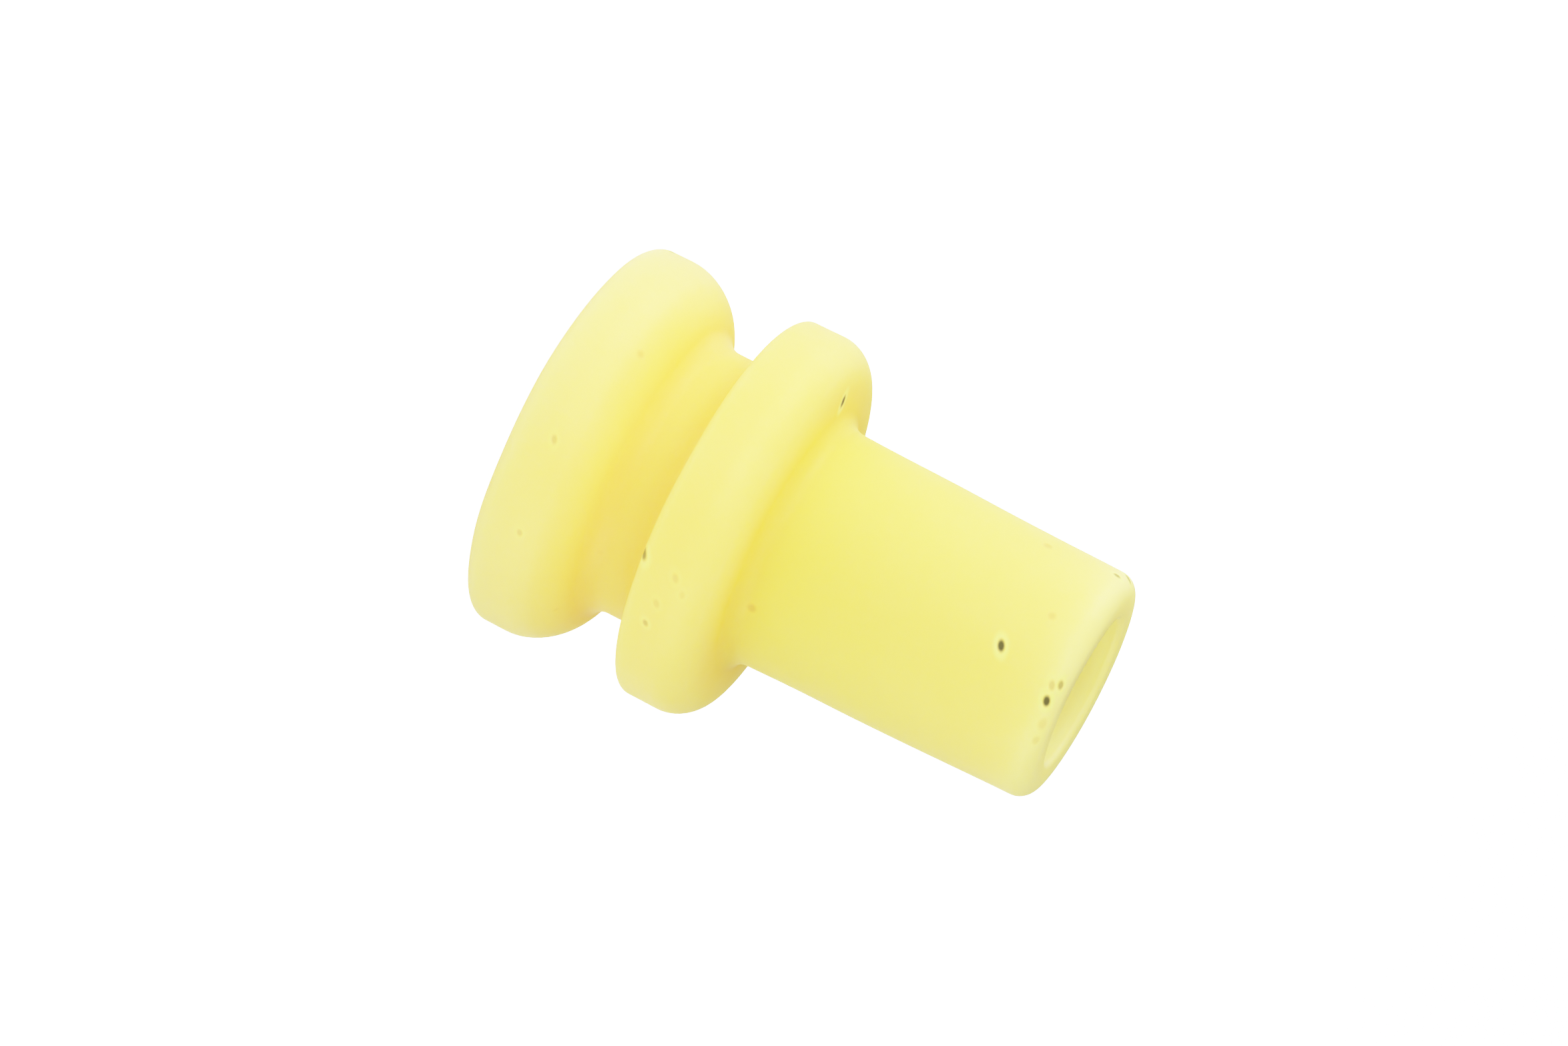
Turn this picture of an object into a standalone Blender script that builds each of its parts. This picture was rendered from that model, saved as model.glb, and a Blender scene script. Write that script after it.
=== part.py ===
"""A ribbed ear plug: one soft moulding with two sealing ribs, a waist between them and a hollow stem.

Units are metres and +Z is up. The plug stands on the flat face of its head with its stem up, so its axis
is +Z and the origin is at the middle of that face. The moulding is one closed solid, turned from one
closed outline. Heights are measured up the axis from the head's face.
"""

import math

import bpy
from mathutils import Matrix, Vector

MM = 0.001

# Overall sizes
OVERALL_LENGTH = 17.7 * MM
RIB_DIAMETER = 12.4 * MM
WAIST_DIAMETER = 8.7 * MM
STEM_ROOT_DIAMETER = 7.7 * MM
STEM_END_DIAMETER = 7.3 * MM

# The bore, which is open at the stem's end and closed by the head
BORE_DIAMETER = 4.7 * MM
HEAD_WALL = 4.2 * MM

# The head's front: a flat face, and the gentle shoulder from it to the front rib
FACE_DIAMETER = 10.0 * MM
SHOULDER_DEPTH = 0.3 * MM

# The two ribs and the waist, measured along the axis. A run is how far a flank leans over its height.
FRONT_RIB_WIDTH = 2.7 * MM
FRONT_RIB_REAR_RUN = 0.6 * MM
WAIST_WIDTH = 1.65 * MM
REAR_RIB_FRONT_RUN = 0.4 * MM
REAR_RIB_WIDTH = 2.2 * MM
REAR_RIB_REAR_RUN = 0.25 * MM

# Radii of the rounded corners
SHOULDER_RADIUS = 5.0 * MM
HEAD_EDGE_RADIUS = 0.4 * MM
FRONT_RIB_REAR_RADIUS = 1.9 * MM
WAIST_RADIUS = 0.75 * MM
REAR_RIB_FRONT_RADIUS = 0.25 * MM
REAR_RIB_REAR_RADIUS = 1.15 * MM
STEM_ROOT_RADIUS = 0.6 * MM
STEM_END_RADIUS = 0.6 * MM
BORE_MOUTH_RADIUS = 0.2 * MM
BORE_FLOOR_RADIUS = 1.2 * MM

# How finely the round shapes are divided
TURN_STEPS = 64
ARC_STEP = math.radians(20)
MERGE_DISTANCE = 0.01 * MM

# The look of the moulding: pale yellow and satin
PLUG_COLOUR = (0.88, 0.80, 0.32, 1.0)
PLUG_ROUGHNESS = 0.5
PLUG_METALLIC = 0.0


def clear_scene():
    """Remove every object, so that the scene holds only the plug."""
    for item in list(bpy.data.objects):
        bpy.data.objects.remove(item, do_unlink=True)


def corner(height, diameter, radius=0.0):
    """One corner of the outline: its place, as distance from the axis and height, and its radius."""
    return Vector((diameter / 2, height)), radius


def bore_corners():
    """The bore, from the middle of its floor out to its wall and up to its mouth."""
    return [
        corner(HEAD_WALL, 0),
        corner(HEAD_WALL, BORE_DIAMETER, BORE_FLOOR_RADIUS),
        corner(OVERALL_LENGTH, BORE_DIAMETER, BORE_MOUTH_RADIUS),
    ]


def outer_corners():
    """The outside, from the stem's end down over both ribs to the middle of the head's face."""
    waist_front = FRONT_RIB_WIDTH + FRONT_RIB_REAR_RUN
    waist_rear = waist_front + WAIST_WIDTH
    rear_rib_front = waist_rear + REAR_RIB_FRONT_RUN
    rear_rib_rear = rear_rib_front + REAR_RIB_WIDTH
    stem_root = rear_rib_rear + REAR_RIB_REAR_RUN
    return [
        corner(OVERALL_LENGTH, STEM_END_DIAMETER, STEM_END_RADIUS),
        corner(stem_root, STEM_ROOT_DIAMETER, STEM_ROOT_RADIUS),
        corner(rear_rib_rear, RIB_DIAMETER, REAR_RIB_REAR_RADIUS),
        corner(rear_rib_front, RIB_DIAMETER, REAR_RIB_FRONT_RADIUS),
        corner(waist_rear, WAIST_DIAMETER, WAIST_RADIUS),
        corner(waist_front, WAIST_DIAMETER, WAIST_RADIUS),
        corner(FRONT_RIB_WIDTH, RIB_DIAMETER, FRONT_RIB_REAR_RADIUS),
        corner(SHOULDER_DEPTH, RIB_DIAMETER, HEAD_EDGE_RADIUS),
        corner(0, FACE_DIAMETER, SHOULDER_RADIUS),
        corner(0, 0),
    ]


def arc_reaches(corners):
    """How far along its two walls each corner's arc reaches, and the scale that makes the arcs fit.

    Where the arcs at a wall's two ends would overlap, both are made smaller until they meet.
    """
    places = [place for place, _ in corners]
    reaches = [0.0]
    for before, (here, radius), after in zip(places, corners[1:], places[2:]):
        half_angle = (before - here).angle(after - here) / 2
        reaches.append(radius / math.tan(half_angle))
    reaches.append(0.0)
    walls = [(end - start).length for start, end in zip(places, places[1:])]
    room = [min(1.0, wall / max(a + b, MERGE_DISTANCE)) for wall, a, b in zip(walls, reaches, reaches[1:])]
    scales = [1.0] + [min(a, b) for a, b in zip(room, room[1:])] + [1.0]
    return reaches, scales


def arc(here, back, on, radius, reach):
    """The points of the arc that rounds the corner at here, between the directions back and on."""
    half_angle = back.angle(on) / 2
    centre = here + (back + on).normalized() * (radius / math.sin(half_angle))
    spoke = here + back * reach - centre
    turn = math.copysign(math.pi - 2 * half_angle, -back.cross(on))
    steps = max(2, math.ceil(abs(turn) / ARC_STEP))
    return [centre + Matrix.Rotation(turn * step / steps, 2) @ spoke for step in range(steps + 1)]


def rounded_outline(corners):
    """The points of the outline, with an arc at each corner that has a radius."""
    reaches, scales = arc_reaches(corners)
    places = [place for place, _ in corners]
    points = [places[0]]
    for index in range(1, len(corners) - 1):
        here, radius = corners[index]
        if radius:
            back = (places[index - 1] - here).normalized()
            on = (places[index + 1] - here).normalized()
            scale = scales[index]
            points += arc(here, back, on, radius * scale, reaches[index] * scale)
        else:
            points.append(here)
    points.append(places[-1])
    return points


def make_elastomer():
    """The moulding's material."""
    material = bpy.data.materials.new("ear_plug_elastomer")
    material.use_nodes = True
    shader = material.node_tree.nodes["Principled BSDF"]
    shader.inputs["Base Color"].default_value = PLUG_COLOUR
    shader.inputs["Roughness"].default_value = PLUG_ROUGHNESS
    shader.inputs["Metallic"].default_value = PLUG_METALLIC
    return material


def make_ear_plug(collection):
    """Turn the outline about the plug's axis."""
    outline = rounded_outline(bore_corners() + outer_corners())
    points = [(point.x, 0.0, point.y) for point in outline]
    edges = [(index, index + 1) for index in range(len(points) - 1)]

    mesh = bpy.data.meshes.new("ear_plug")
    mesh.from_pydata(points, edges, [])
    mesh.materials.append(make_elastomer())
    plug = bpy.data.objects.new("ear_plug", mesh)
    collection.objects.link(plug)

    turned = plug.modifiers.new("turned", "SCREW")
    turned.angle = 2 * math.pi
    turned.steps = TURN_STEPS
    turned.render_steps = TURN_STEPS
    turned.use_merge_vertices = True
    turned.merge_threshold = MERGE_DISTANCE
    turned.use_smooth_shade = True
    return plug


def main():
    clear_scene()
    collection = bpy.data.collections.new("ribbed_ear_plug")
    bpy.context.scene.collection.children.link(collection)
    make_ear_plug(collection)


if __name__ == "__main__":
    main()
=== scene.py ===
import math

import bmesh
import bpy
from bpy.props import FloatProperty, FloatVectorProperty, IntProperty, PointerProperty
from mathutils import Euler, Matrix, Quaternion, Vector, noise


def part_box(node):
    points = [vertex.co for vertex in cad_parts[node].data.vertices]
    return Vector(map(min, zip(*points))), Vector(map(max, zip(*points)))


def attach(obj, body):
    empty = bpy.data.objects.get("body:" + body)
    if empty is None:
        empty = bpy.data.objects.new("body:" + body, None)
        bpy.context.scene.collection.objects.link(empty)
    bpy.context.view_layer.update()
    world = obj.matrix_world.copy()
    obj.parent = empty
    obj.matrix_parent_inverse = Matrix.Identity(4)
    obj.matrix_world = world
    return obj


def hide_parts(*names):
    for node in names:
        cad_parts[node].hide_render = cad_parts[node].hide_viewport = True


bl_info = {
    "name": "Ribbed ear plug",
    "version": (1, 0, 0),
    "blender": (4, 5, 0),
    "location": "3D View > Sidebar > Ear plug",
    "description": "Models a soft ribbed ear plug and the stage it is looked at on",
    "category": "Object",
}

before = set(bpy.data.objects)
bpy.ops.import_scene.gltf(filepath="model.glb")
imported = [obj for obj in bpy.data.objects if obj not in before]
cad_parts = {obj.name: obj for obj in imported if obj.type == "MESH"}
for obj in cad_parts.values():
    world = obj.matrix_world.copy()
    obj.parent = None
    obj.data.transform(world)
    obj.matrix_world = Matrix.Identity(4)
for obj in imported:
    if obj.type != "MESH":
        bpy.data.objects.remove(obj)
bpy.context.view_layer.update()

MM = 0.001
MERGE_DISTANCE = 0.002 * MM

# Painted light and shade in the yellow: from 0, painted light at a thin edge, over the open skin's plain yellow,
# to 1, painted shade in a recess.
OPEN_TONE = 0.5
EDGE_PAINTED_LIGHT = 0.4
BORE_MOUTH_TONE = 0.45
BORE_MOUTH_PAINTED_LIGHT = 0.25
BORE_DEPTH_PAINTED_SHADE = 0.5

# Where a pinhole's dark inside and its bright rim begin to fade, and where each is gone. Both are distances from
# its middle, in half widths of the pinhole.
PINHOLE_RINGS = {"inside": (0.25, 0.8), "rim": (0.8, 1.6)}
# The bubbles were drawn out as the mould filled, so each pinhole is longer one way, which leans about Y.
PINHOLE_LEAN = math.radians(-26)
PINHOLE_STRETCH = (1.8, 1.0, 1.0)

# The lit floor's own brightness is about this, and the rest of its white is added for the camera alone.
FLOOR_BRIGHTNESS = 0.5

# Softboxes round the plug: the way to each from the plug, and its share of the power.
SOFTBOXES = {
    "left": ((-1.0, -0.15, 0.25), 1.0),
    "front": ((-0.45, -0.85, 0.2), 0.78),
    "right": ((1.0, -0.3, 0.35), 0.58),
    "rim": ((-1.0, 0.9, 0.2), 0.3),
    "top": ((0.0, -0.7, 1.0), 0.35),
}

# Pinholes left by bubbles under the skin: each one's height up the plug in mm, its turn about the axis in
# degrees, its width in mm and how dark it is.
PINHOLES = (
    (15.5, -92, 0.38, 0.95),
    (17.35, -79, 0.4, 0.95),
    (17.6, -88, 0.34, 0.6),
    (17.3, -86, 0.34, 0.4),
    (17.5, -67, 0.5, 0.2),
    (17.6, -58, 0.4, 0.2),
    (17.2, -161, 0.38, 0.65),
    (17.45, -172, 0.44, 0.65),
    (5.25, -69, 0.42, 0.7),
    (7.9, -157, 0.44, 0.85),
    (6.1, -50, 0.3, 0.4),
    (6.5, -66, 0.34, 0.2),
    (6.9, -63, 0.3, 0.15),
    (6.2, -58, 0.34, 0.2),
    (0.7, -172, 0.4, 0.5),
    (1.6, -85, 0.3, 0.3),
    (1.7, -59, 0.3, 0.25),
)

plug_low, plug_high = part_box("ear_plug")


def millimetres(name, size, description):
    """A length property whose default is given in millimetres."""
    return FloatProperty(name=name, description=description, default=size * MM, min=0.0, unit="LENGTH")


def linear(hex_colour):
    """An sRGB hex colour as linear red, green and blue."""
    channels = [int(hex_colour[at : at + 2], 16) / 255 for at in (0, 2, 4)]
    return tuple(c / 12.92 if c <= 0.04045 else ((c + 0.055) / 1.055) ** 2.4 for c in channels)


def tint(name, hex_colour, description):
    """A colour property whose default is an sRGB hex colour."""
    return FloatVectorProperty(
        name=name,
        description=description,
        default=linear(hex_colour),
        min=0.0,
        max=1.0,
        size=3,
        subtype="COLOR",
    )


def amount(name, size, description):
    """A property from 0 to 1."""
    return FloatProperty(name=name, description=description, default=size, min=0.0, max=1.0, subtype="FACTOR")


def angle(name, degrees, description):
    """An angle property whose default is given in degrees."""
    return FloatProperty(name=name, description=description, default=math.radians(degrees), subtype="ANGLE")


class PlugSizes(bpy.types.PropertyGroup):
    """The plug's sizes, along and across its axis."""

    length: millimetres("Length", (plug_high.z - plug_low.z) / MM, "From the head's face to the stem's end")
    rib_diameter: millimetres("Rib diameter", (plug_high.x - plug_low.x) / MM, "Over either rib")
    waist_diameter: millimetres("Waist diameter", 8.7, "Between the ribs")
    stem_root_diameter: millimetres("Stem diameter at its root", 7.7, "Behind the rear rib")
    stem_end_diameter: millimetres("Stem diameter at its end", 7.3, "The mould's draft makes it smaller")
    bore_diameter: millimetres("Bore diameter", 4.7, "Inside the stem")
    head_wall: millimetres("Head wall", 4.2, "From the head's face to the floor of the bore")
    face_diameter: millimetres("Face diameter", 10.0, "Where the head's flat face turns into its shoulder")
    shoulder_depth: millimetres("Shoulder depth", 0.3, "How far the front rib's edge lies behind the face")
    front_rib_width: millimetres("Front rib width", 2.7, "From the face to the rib's rear corner")
    front_rib_rear_run: millimetres("Front rib rear run", 0.6, "How far its rear flank leans")
    waist_width: millimetres("Waist width", 1.65, "Between the feet of the two ribs")
    rear_rib_front_run: millimetres("Rear rib front run", 0.4, "How far its front flank leans")
    rear_rib_width: millimetres("Rear rib width", 2.2, "Between its two corners")
    rear_rib_rear_run: millimetres("Rear rib rear run", 0.25, "How far its rear flank leans")
    shoulder_radius: millimetres("Shoulder radius", 5.0, "Between the face and its shoulder")
    head_edge_radius: millimetres("Head edge radius", 0.4, "Between the shoulder and the front rib")
    front_rib_rear_radius: millimetres("Front rib rear radius", 1.9, "Behind the front rib's crest")
    waist_radius: millimetres("Waist radius", 0.75, "At each end of the waist")
    rear_rib_front_radius: millimetres("Rear rib front radius", 0.25, "In front of the rear rib's crest")
    rear_rib_rear_radius: millimetres("Rear rib rear radius", 1.15, "Behind the rear rib's crest")
    stem_root_radius: millimetres("Stem root radius", 0.6, "Between the rear rib and the stem")
    stem_end_radius: millimetres("Stem end radius", 0.6, "Round the outside of the stem's end")
    bore_mouth_radius: millimetres("Bore mouth radius", 0.2, "Round the mouth of the bore")
    bore_floor_radius: millimetres("Bore floor radius", 1.2, "Round the floor of the bore")
    # The next five settings place painted shade at the stem's root and the waist, and painted light at the
    # stem's end and the head's rim.
    root_shade_fade: millimetres("Recess fade", 4.0, "How far along the stem the deep yellow of its root reaches")
    waist_painted_shade: amount("Waist tone", 0.6, "How deep the yellow of the waist is")
    waist_reach: millimetres("Waist reach", 2.0, "How far the waist's deep yellow reaches from its middle")
    edge_fade: millimetres("Edge fade", 0.8, "How far from the stem's end its pale edge reaches")
    rim_fade: millimetres("Rim fade", 1.5, "How far from the head's face its pale rim reaches")
    unevenness: millimetres("Unevenness", 0.03, "How far the soft skin wanders from the true shape")
    wave_length: millimetres("Wave length", 3.0, "Across one swell of the uneven skin")
    ring_spacing: millimetres("Ring spacing", 0.15, "Most distance between two rings of the mesh")
    turn_steps: IntProperty(name="Turn steps", description="In one turn of the outline", default=192, min=24)
    arc_step: FloatProperty(
        name="Arc step",
        description="Most turn between two rings in a rounded corner",
        default=math.radians(6),
        min=math.radians(1),
        subtype="ANGLE",
    )


class PlugFinish(bpy.types.PropertyGroup):
    """The elastomer's colours and surface."""

    # These three yellows are laid out by painted light and shade: the palest is painted light at the thin edges,
    # the strongest painted shade in the recesses.
    thin: tint("Thin edges", "FEE9A2", "The palest yellow, at the lip and the head's rim")
    body: tint("Body", "FEDE7C", "The pale yellow of the moulding")
    deep: tint("Recesses", "FEDD5C", "The strongest yellow, at the foot of the ribs")
    pinhole: tint("Pinhole", "504A0E", "The dark inside of a pinhole")
    pinhole_rim: tint("Pinhole rim", "FFF38C", "The bright skin round a pinhole")
    speck_spacing: millimetres("Speck spacing", 1.6, "Between the fine specks")
    speck_darkness: amount("Speck darkness", 0.25, "Of a fine speck, beside a pinhole")
    cloud_size: millimetres("Cloud size", 2.2, "Across one cloud in the milky body")
    cloud_strength: amount("Cloud strength", 0.2, "How much the clouds change the yellow")
    # Grain from a mould is about 0.02 mm across, too fine to show, so it is drawn nine times as coarse.
    grain_size: millimetres("Grain size", 0.18, "Across one grain of the satin skin")
    grain_depth: millimetres("Grain depth", 0.01, "Of the satin skin's grain")
    pinhole_depth: millimetres("Pinhole depth", 0.06, "How far the skin dips at a pinhole")
    scatter_depth: millimetres("Scatter depth", 3.0, "How far light goes through the milky body")
    roughness: amount("Roughness", 0.45, "Satin, from the mould")
    roughness_spread: amount("Roughness spread", 0.08, "How far the clouds change the roughness")


class StageSettings(bpy.types.PropertyGroup):
    """The floor, the lights and the camera."""

    floor_width: millimetres("Floor width", 6000.0, "Side of the square floor")
    floor_glow: amount("Floor glow", 0.2, "Light that the floor gives")
    ambient: amount("Ambient", 0.42, "Light from all around")
    softbox_power: FloatProperty(
        name="Softbox power", description="Of the strongest softbox", default=0.95, min=0.0, unit="POWER"
    )
    softbox_width: millimetres("Softbox width", 300.0, "Side of each square softbox")
    softbox_distance: millimetres("Softbox distance", 350.0, "From the plug to each softbox")
    white: FloatProperty(
        name="White", description="Brightness at which the picture turns pure white", default=3.0, min=1.0
    )
    shoulder: FloatProperty(
        name="Shoulder",
        description="Brightness above which the picture compresses its highlights",
        default=0.5,
        min=0.1,
        max=0.9,
    )
    view_distance: millimetres("View distance", 142.4, "From the camera to the plug's axis")
    view_elevation: angle("View elevation", 12.2, "Of the camera above the floor")
    view_roll: angle("View roll", 116.9, "Turn of the camera about its line of sight")
    view_lens: FloatProperty(name="View lens", description="Focal length in mm", default=110.0, min=1.0)
    aim_height: millimetres("Aim height", 7.68, "The point on the plug's axis that the camera looks past")
    aim_aside: FloatVectorProperty(
        name="Aim aside",
        description="How far right of that point and above it, in the picture, the camera looks",
        default=(-0.06 * MM, 0.53 * MM),
        size=2,
        unit="LENGTH",
    )


def outline_corners(sizes):
    """The outline's corners from the bore's floor, over the stem's end and both ribs, to the head's face.

    Each is a height up the axis, a diameter and the radius that rounds it.
    """
    waist_front = sizes.front_rib_width + sizes.front_rib_rear_run
    waist_rear = waist_front + sizes.waist_width
    rear_rib_front = waist_rear + sizes.rear_rib_front_run
    rear_rib_rear = rear_rib_front + sizes.rear_rib_width
    stem_root = rear_rib_rear + sizes.rear_rib_rear_run
    return [
        (sizes.head_wall, 0.0, 0.0),
        (sizes.head_wall, sizes.bore_diameter, sizes.bore_floor_radius),
        (sizes.length, sizes.bore_diameter, sizes.bore_mouth_radius),
        (sizes.length, sizes.stem_end_diameter, sizes.stem_end_radius),
        (stem_root, sizes.stem_root_diameter, sizes.stem_root_radius),
        (rear_rib_rear, sizes.rib_diameter, sizes.rear_rib_rear_radius),
        (rear_rib_front, sizes.rib_diameter, sizes.rear_rib_front_radius),
        (waist_rear, sizes.waist_diameter, sizes.waist_radius),
        (waist_front, sizes.waist_diameter, sizes.waist_radius),
        (sizes.front_rib_width, sizes.rib_diameter, sizes.front_rib_rear_radius),
        (sizes.shoulder_depth, sizes.rib_diameter, sizes.head_edge_radius),
        (0.0, sizes.face_diameter, sizes.shoulder_radius),
        (0.0, 0.0, 0.0),
    ]


def draw_outline(shape, sizes):
    """Draw the outline as a chain of edges, and round each corner with a bevel."""
    corners = outline_corners(sizes)
    places = [Vector((diameter / 2, 0.0, height)) for height, diameter, _ in corners]
    radii = [radius for _, _, radius in corners]
    verts = [shape.verts.new(place) for place in places]
    for start, end in zip(verts, verts[1:]):
        shape.edges.new((start, end))
    for before, vert, place, after, radius in zip(places, verts[1:], places[1:], places[2:], radii[1:]):
        half_angle = (before - place).angle(after - place) / 2
        bmesh.ops.bevel(
            shape,
            geom=[vert],
            offset=radius / math.tan(half_angle),
            offset_type="OFFSET",
            segments=max(2, math.ceil((math.pi - 2 * half_angle) / sizes.arc_step)),
            profile=0.5,
            affect="VERTICES",
            material=-1,
        )


def cut_long_runs(shape, spacing):
    """Cut the outline's straight runs, so that the finished mesh is even enough to be shaped further."""
    for edge in list(shape.edges):
        cuts = math.ceil(edge.calc_length() / spacing) - 1
        if cuts > 0:
            bmesh.ops.subdivide_edges(shape, edges=[edge], cuts=cuts)


def part_way(value, start, end):
    """How far value is on its way from start to end, kept from 0 to 1."""
    return min(max((value - start) / (end - start), 0.0), 1.0)


def painted_light_and_shade(place, sizes):
    """The painted light and shade at one place, as how deep the yellow is painted there."""
    radius, height = place.xy.length, place.z
    corners = outline_corners(sizes)
    stem_root, rear_rib_rear, waist_rear, waist_front = (corners[at][0] for at in (4, 5, 7, 8))
    rib_radius = sizes.rib_diameter / 2
    bore_radius = sizes.bore_diameter / 2
    to_end = sizes.length - height
    # Inside the bore: painted light just within the mouth, then painted shade deepening towards the bore's
    # floor.
    if radius < bore_radius + sizes.bore_mouth_radius and height > sizes.head_wall - MERGE_DISTANCE:
        mouth = max(BORE_MOUTH_TONE - BORE_MOUTH_PAINTED_LIGHT * to_end / sizes.bore_mouth_radius, 0.0)
        return mouth + BORE_DEPTH_PAINTED_SHADE * to_end / (sizes.length - sizes.head_wall)
    # Painted shade at the foot of the ribs, at the stem's root and across the waist.
    below_ribs = part_way(radius, rib_radius, sizes.waist_diameter / 2)
    if height > rear_rib_rear:
        recess = below_ribs**2 * math.exp(-max(height - stem_root, 0.0) / sizes.root_shade_fade)
    else:
        from_middle = (height - (waist_front + waist_rear) / 2) / sizes.waist_reach
        recess = sizes.waist_painted_shade * max(1.0 - from_middle**2, 0.0)
        if from_middle > 0.0:
            recess *= below_ribs
    # Painted light towards the stem's end and the head's face.
    outer = part_way(radius, bore_radius, sizes.stem_end_diameter / 2)
    edge = max(outer * math.exp(-to_end / sizes.edge_fade), math.exp(-height / sizes.rim_fade))
    return OPEN_TONE + (1.0 - OPEN_TONE) * recess - EDGE_PAINTED_LIGHT * edge


def skin_place(mesh, height, turn):
    """The point of the outer skin at one height and turn about the axis."""
    way = Vector((math.cos(turn), math.sin(turn), 0.0))
    band = 0.2 * MM
    near = [vert.co for vert in mesh.vertices if abs(vert.co.z - height) < band and vert.co.dot(way) > 0.0]
    return max(near, key=lambda place: place.dot(way) - abs(place.z - height))


def shade_skin(shape, sizes):
    """Keep each vertex's painted light and shade for the material."""
    tone = shape.verts.layers.float.new("tone")
    for vert in shape.verts:
        vert[tone] = painted_light_and_shade(vert.co, sizes)


def soften_skin(shape, sizes):
    """Let the skin wander a little from the true shape, but for the face that it stands on."""
    moves = []
    for vert in shape.verts:
        settle = min(vert.co.z / sizes.shoulder_depth, 1.0)
        swell = noise.noise(vert.co / sizes.wave_length)
        moves.append(vert.normal * swell * sizes.unevenness * settle)
    for vert, move in zip(shape.verts, moves):
        vert.co += move


def turn_outline(sizes):
    """The plug's mesh: the outline, turned once about the axis."""
    shape = bmesh.new()
    draw_outline(shape, sizes)
    cut_long_runs(shape, sizes.ring_spacing)
    bmesh.ops.spin(
        shape,
        geom=shape.verts[:] + shape.edges[:],
        cent=(0, 0, 0),
        axis=(0, 0, 1),
        dvec=(0, 0, 0),
        angle=2 * math.pi,
        steps=sizes.turn_steps,
        use_merge=True,
        use_duplicate=False,
    )
    bmesh.ops.remove_doubles(shape, verts=shape.verts, dist=MERGE_DISTANCE)
    bmesh.ops.recalc_face_normals(shape, faces=shape.faces)
    shade_skin(shape, sizes)
    soften_skin(shape, sizes)
    for face in shape.faces:
        face.smooth = True
    mesh = bpy.data.meshes.new("ribbed_plug")
    shape.to_mesh(mesh)
    shape.free()
    return mesh


def add_node(tree, kind, inputs=None, **settings):
    """Add a node. settings are its own properties, and inputs gives its sockets a value or a link."""
    node = tree.nodes.new(kind)
    for name, value in settings.items():
        setattr(node, name, value)
    for socket, value in (inputs or {}).items():
        if isinstance(value, bpy.types.NodeSocket):
            tree.links.new(value, node.inputs[socket])
        else:
            node.inputs[socket].default_value = value
    return node


def new_material(name):
    """An empty node material, with its tree and its output."""
    material = bpy.data.materials.new(name)
    material.use_nodes = True
    material.node_tree.nodes.clear()
    output = add_node(material.node_tree, "ShaderNodeOutputMaterial")
    return material, material.node_tree, output


def yellow_with_painted_light(tree, clouds, finish):
    """The skin's yellow, with painted light at thin edges, painted shade in recesses, and a little uneven
    everywhere.
    """
    tone = add_node(tree, "ShaderNodeAttribute", attribute_name="tone").outputs["Fac"]
    clouded = add_node(
        tree, "ShaderNodeMath", {0: clouds, 1: finish.cloud_strength, 2: tone}, operation="MULTIPLY_ADD"
    ).outputs["Value"]
    centred = add_node(
        tree, "ShaderNodeMath", {0: clouded, 1: finish.cloud_strength / 2}, operation="SUBTRACT"
    ).outputs["Value"]
    yellow = add_node(tree, "ShaderNodeValToRGB", {"Fac": centred})
    elements = yellow.color_ramp.elements
    elements.new(OPEN_TONE)
    stops = ((0.0, finish.thin), (OPEN_TONE, finish.body), (1.0, finish.deep))
    for element, (place, colour) in zip(elements, stops):
        element.position = place
        element.color = (*colour, 1.0)
    return yellow.outputs["Color"]


def pinhole_pattern(tree, coordinates, mesh):
    """The pinholes' dark insides and their bright rims, each from 0 to 1."""
    lean = Euler((0.0, PINHOLE_LEAN, 0.0))
    along = add_node(
        tree,
        "ShaderNodeMapping",
        {"Vector": coordinates, "Rotation": lean, "Scale": PINHOLE_STRETCH},
        vector_type="TEXTURE",
    ).outputs["Vector"]
    patterns = dict.fromkeys(PINHOLE_RINGS, 0.0)
    for height, turn, width, darkness in PINHOLES:
        leant = lean.to_matrix().inverted() @ skin_place(mesh, height * MM, math.radians(turn))
        place = [size / scale for size, scale in zip(leant, PINHOLE_STRETCH)]
        away = add_node(tree, "ShaderNodeVectorMath", {0: along, 1: place}, operation="DISTANCE")
        half = width * MM / 2
        for ring, (start, end) in PINHOLE_RINGS.items():
            fading = {"From Min": start * half, "From Max": end * half, "To Min": darkness, "To Max": 0.0}
            one = add_node(
                tree,
                "ShaderNodeMapRange",
                {"Value": away.outputs["Value"], **fading},
                interpolation_type="SMOOTHSTEP",
            ).outputs["Result"]
            patterns[ring] = add_node(
                tree, "ShaderNodeMath", {0: patterns[ring], 1: one}, operation="MAXIMUM"
            ).outputs["Value"]
    return patterns["inside"], patterns["rim"]


def faint_specks(tree, coordinates, spacing):
    """Fine specks strewn through the skin, from 0 to 1, in about one cell in three."""
    middle, border = 0.04, 0.13
    least_chosen = 0.6
    cells = add_node(tree, "ShaderNodeTexVoronoi", {"Vector": coordinates, "Scale": 1 / spacing})
    fading = {"From Min": middle, "From Max": border, "To Min": 1.0, "To Max": 0.0}
    near = add_node(
        tree,
        "ShaderNodeMapRange",
        {"Value": cells.outputs["Distance"], **fading},
        interpolation_type="SMOOTHSTEP",
    ).outputs["Result"]
    chosen = add_node(
        tree, "ShaderNodeMath", {0: cells.outputs["Color"], 1: least_chosen}, operation="GREATER_THAN"
    ).outputs["Value"]
    return add_node(tree, "ShaderNodeMath", {0: near, 1: chosen}, operation="MULTIPLY").outputs["Value"]


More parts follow.
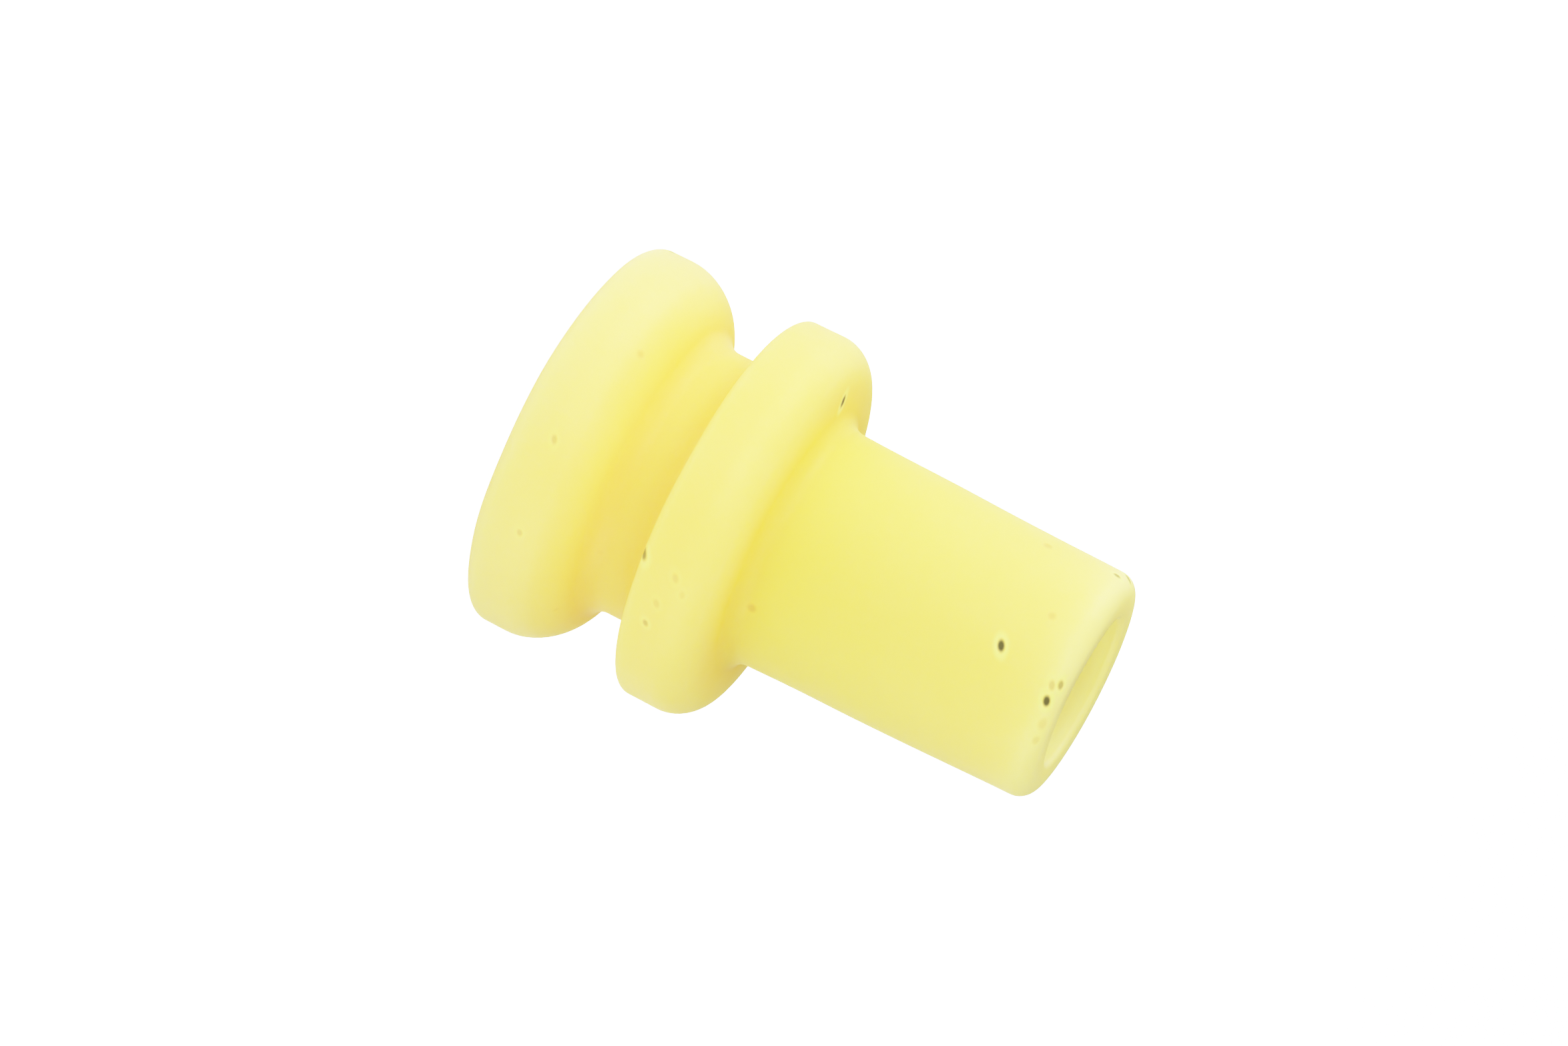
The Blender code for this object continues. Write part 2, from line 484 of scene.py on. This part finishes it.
def moulded_silicone(finish, mesh):
    """Silicone rubber, moulded: a satin skin over a milky body.

    Light goes some way into the body before it comes out again, red furthest and blue least, so the plug has
    soft shading and no hard highlights. Its deeper yellow in recesses is partly this scattering and partly
    painted shade in the base colour, and its paler thin edges are painted light.
    """
    material, tree, output = new_material("moulded_silicone")
    coordinates = add_node(tree, "ShaderNodeTexCoord").outputs["Object"]
    clouds = add_node(
        tree, "ShaderNodeTexNoise", {"Vector": coordinates, "Scale": 1 / finish.cloud_size, "Detail": 3.0}
    ).outputs["Fac"]
    skin = yellow_with_painted_light(tree, clouds, finish)
    specks = faint_specks(tree, coordinates, finish.speck_spacing)
    faint = add_node(
        tree, "ShaderNodeMath", {0: specks, 1: finish.speck_darkness}, operation="MULTIPLY"
    ).outputs["Value"]
    dark, rims = pinhole_pattern(tree, coordinates, mesh)
    holes = add_node(tree, "ShaderNodeMath", {0: dark, 1: faint}, operation="MAXIMUM").outputs["Value"]
    rimmed = add_node(
        tree, "ShaderNodeMix", {"Factor": rims, "A": skin, "B": (*finish.pinhole_rim, 1.0)}, data_type="RGBA"
    ).outputs["Result"]
    colour = add_node(
        tree, "ShaderNodeMix", {"Factor": holes, "A": rimmed, "B": (*finish.pinhole, 1.0)}, data_type="RGBA"
    )
    milky = add_node(tree, "ShaderNodeMath", {0: 1.0, 1: holes}, operation="SUBTRACT")
    grain = add_node(
        tree, "ShaderNodeTexNoise", {"Vector": coordinates, "Scale": 1 / finish.grain_size, "Detail": 2.0}
    ).outputs["Fac"]
    smoothest = finish.roughness - finish.roughness_spread
    roughest = finish.roughness + finish.roughness_spread
    roughness = add_node(
        tree, "ShaderNodeMapRange", {"Value": clouds, "To Min": smoothest, "To Max": roughest}
    )
    pits = add_node(
        tree,
        "ShaderNodeBump",
        {"Height": holes, "Strength": 0.8, "Distance": finish.pinhole_depth},
        invert=True,
    )
    satin = add_node(
        tree,
        "ShaderNodeBump",
        {"Height": grain, "Strength": 0.25, "Distance": finish.grain_depth, "Normal": pits.outputs["Normal"]},
    )
    shader = add_node(
        tree,
        "ShaderNodeBsdfPrincipled",
        {
            "Base Color": colour.outputs["Result"],
            "Roughness": roughness.outputs["Result"],
            "Normal": satin.outputs["Normal"],
            "IOR": 1.41,
            "Subsurface Weight": milky.outputs["Value"],
            "Subsurface Radius": (1.0, 0.85, 0.3),
            "Subsurface Scale": finish.scatter_depth,
        },
    )
    tree.links.new(shader.outputs["BSDF"], output.inputs["Surface"])
    return material


class EARPLUG_OT_moulding(bpy.types.Operator):
    """Model the plug, a single soft moulding"""

    bl_idname = "ear_plug.moulding"
    bl_label = "Moulding"

    def execute(self, context):
        mesh = turn_outline(context.scene.ear_plug_sizes)
        mesh.materials.append(moulded_silicone(context.scene.ear_plug_finish, mesh))
        plug = bpy.data.objects.new("ribbed_plug", mesh)
        context.scene.collection.objects.link(plug)
        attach(plug, "root")
        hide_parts("ear_plug")
        return {"FINISHED"}


def matt_acrylic(stage):
    """Opal acrylic, sanded: the plain white top of a light table, which looks pure white itself."""
    material, tree, output = new_material("matt_acrylic")
    sheet = add_node(
        tree,
        "ShaderNodeBsdfPrincipled",
        {
            "Base Color": (*linear("F4F4F4"), 1.0),
            "Roughness": 0.9,
            "Specular IOR Level": 0.1,
            "Emission Color": (1.0, 1.0, 1.0, 1.0),
            "Emission Strength": stage.floor_glow,
        },
    )
    shine = add_node(tree, "ShaderNodeEmission", {"Strength": stage.white - FLOOR_BRIGHTNESS})
    bright = add_node(tree, "ShaderNodeAddShader", {0: sheet.outputs["BSDF"], 1: shine.outputs["Emission"]})
    path = add_node(tree, "ShaderNodeLightPath")
    seen = add_node(
        tree,
        "ShaderNodeMixShader",
        {0: path.outputs["Is Camera Ray"], 1: sheet.outputs["BSDF"], 2: bright.outputs["Shader"]},
    )
    tree.links.new(seen.outputs["Shader"], output.inputs["Surface"])
    return material


def lay_floor(scene, stage):
    """The plain pale floor that the plug stands on."""
    shape = bmesh.new()
    bmesh.ops.create_grid(shape, x_segments=1, y_segments=1, size=stage.floor_width / 2)
    mesh = bpy.data.meshes.new("floor")
    shape.to_mesh(mesh)
    shape.free()
    mesh.materials.append(matt_acrylic(stage))
    floor = bpy.data.objects.new("floor", mesh)
    scene.collection.objects.link(floor)


def light_surroundings(scene, stage):
    """Even white light from all around, which looks pure white itself."""
    world = bpy.data.worlds.new("white_room")
    world.use_nodes = True
    tree = world.node_tree
    tree.nodes.clear()
    path = add_node(tree, "ShaderNodeLightPath")
    strength = add_node(
        tree, "ShaderNodeMix", {"Factor": path.outputs["Is Camera Ray"], "A": stage.ambient, "B": stage.white}
    )
    background = add_node(
        tree, "ShaderNodeBackground", {"Color": (1.0, 1.0, 1.0, 1.0), "Strength": strength.outputs["Result"]}
    )
    add_node(tree, "ShaderNodeOutputWorld", {"Surface": background.outputs["Background"]})
    scene.world = world


def look_against(back):
    """The rotation of a light or camera that looks against back."""
    return (-back).to_track_quat("-Z", "Y")


def hang_softboxes(scene, stage):
    """Large soft panels of light round the plug."""
    for name, (way, share) in SOFTBOXES.items():
        light = bpy.data.lights.new(f"{name}_softbox", "AREA")
        light.shape = "SQUARE"
        light.size = stage.softbox_width
        light.energy = stage.softbox_power * share
        softbox = bpy.data.objects.new(light.name, light)
        back = Vector(way).normalized()
        softbox.location = Vector((0.0, 0.0, stage.aim_height)) + back * stage.softbox_distance
        softbox.rotation_euler = look_against(back).to_euler()
        scene.collection.objects.link(softbox)


def shape_highlights(scene, stage):
    """Give the picture a camera's soft shoulder, so that bright yellow keeps its hue."""
    view = scene.view_settings
    view.view_transform = "Standard"
    view.use_curve_mapping = True
    mapping = view.curve_mapping
    mapping.white_level = (stage.white,) * 3
    combined = mapping.curves[3]
    reach = 1.0 - stage.shoulder
    steps = 8
    crowding = 1.5
    for step in range(steps):
        past_shoulder = (stage.white - stage.shoulder) * (step / steps) ** crowding
        shown = 1.0 - reach * math.exp(-past_shoulder / reach)
        combined.points.new((stage.shoulder + past_shoulder) / stage.white, shown)
    mapping.update()


def set_camera(scene, stage):
    """A camera just above the floor, turned so that the stem points down and to the right in the picture."""
    data = bpy.data.cameras.new("camera")
    data.lens = stage.view_lens
    data.clip_start = 1.0 * MM
    data.clip_end = 20.0
    camera = bpy.data.objects.new("camera", data)
    back = Vector((0.0, -math.cos(stage.view_elevation), math.sin(stage.view_elevation)))
    turn = look_against(back) @ Quaternion((0.0, 0.0, 1.0), stage.view_roll)
    aside = turn @ Vector((*stage.aim_aside, 0.0))
    camera.rotation_mode = "QUATERNION"
    camera.rotation_quaternion = turn
    camera.location = Vector((0.0, 0.0, stage.aim_height)) + aside + back * stage.view_distance
    scene.collection.objects.link(camera)
    scene.camera = camera


class EARPLUG_OT_stage(bpy.types.Operator):
    """Set the floor, the lights and the camera"""

    bl_idname = "ear_plug.stage"
    bl_label = "Stage"

    def execute(self, context):
        scene = context.scene
        stage = scene.ear_plug_stage
        lay_floor(scene, stage)
        light_surroundings(scene, stage)
        hang_softboxes(scene, stage)
        set_camera(scene, stage)
        shape_highlights(scene, stage)
        return {"FINISHED"}


class EARPLUG_PT_panel(bpy.types.Panel):
    """Lists the plug's operators and settings."""

    bl_idname = "EARPLUG_PT_panel"
    bl_label = "Ribbed ear plug"
    bl_space_type = "VIEW_3D"
    bl_region_type = "UI"
    bl_category = "Ear plug"

    def draw(self, context):
        for operator in OPERATORS:
            self.layout.operator(operator.bl_idname)
        for name in SETTINGS:
            group = getattr(context.scene, name)
            for key in group.bl_rna.properties.keys():
                if key not in {"rna_type", "name"}:
                    self.layout.prop(group, key)


OPERATORS = (EARPLUG_OT_moulding, EARPLUG_OT_stage)
SETTINGS = {"ear_plug_sizes": PlugSizes, "ear_plug_finish": PlugFinish, "ear_plug_stage": StageSettings}


def register():
    for cls in (*SETTINGS.values(), *OPERATORS, EARPLUG_PT_panel):
        bpy.utils.register_class(cls)
    for name, group in SETTINGS.items():
        setattr(bpy.types.Scene, name, PointerProperty(type=group))


def unregister():
    for name in SETTINGS:
        delattr(bpy.types.Scene, name)
    for cls in (EARPLUG_PT_panel, *reversed(OPERATORS), *reversed(SETTINGS.values())):
        bpy.utils.unregister_class(cls)


def main():
    """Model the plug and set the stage."""
    register()
    bpy.ops.ear_plug.moulding()
    bpy.ops.ear_plug.stage()


if __name__ == "__main__":
    main()
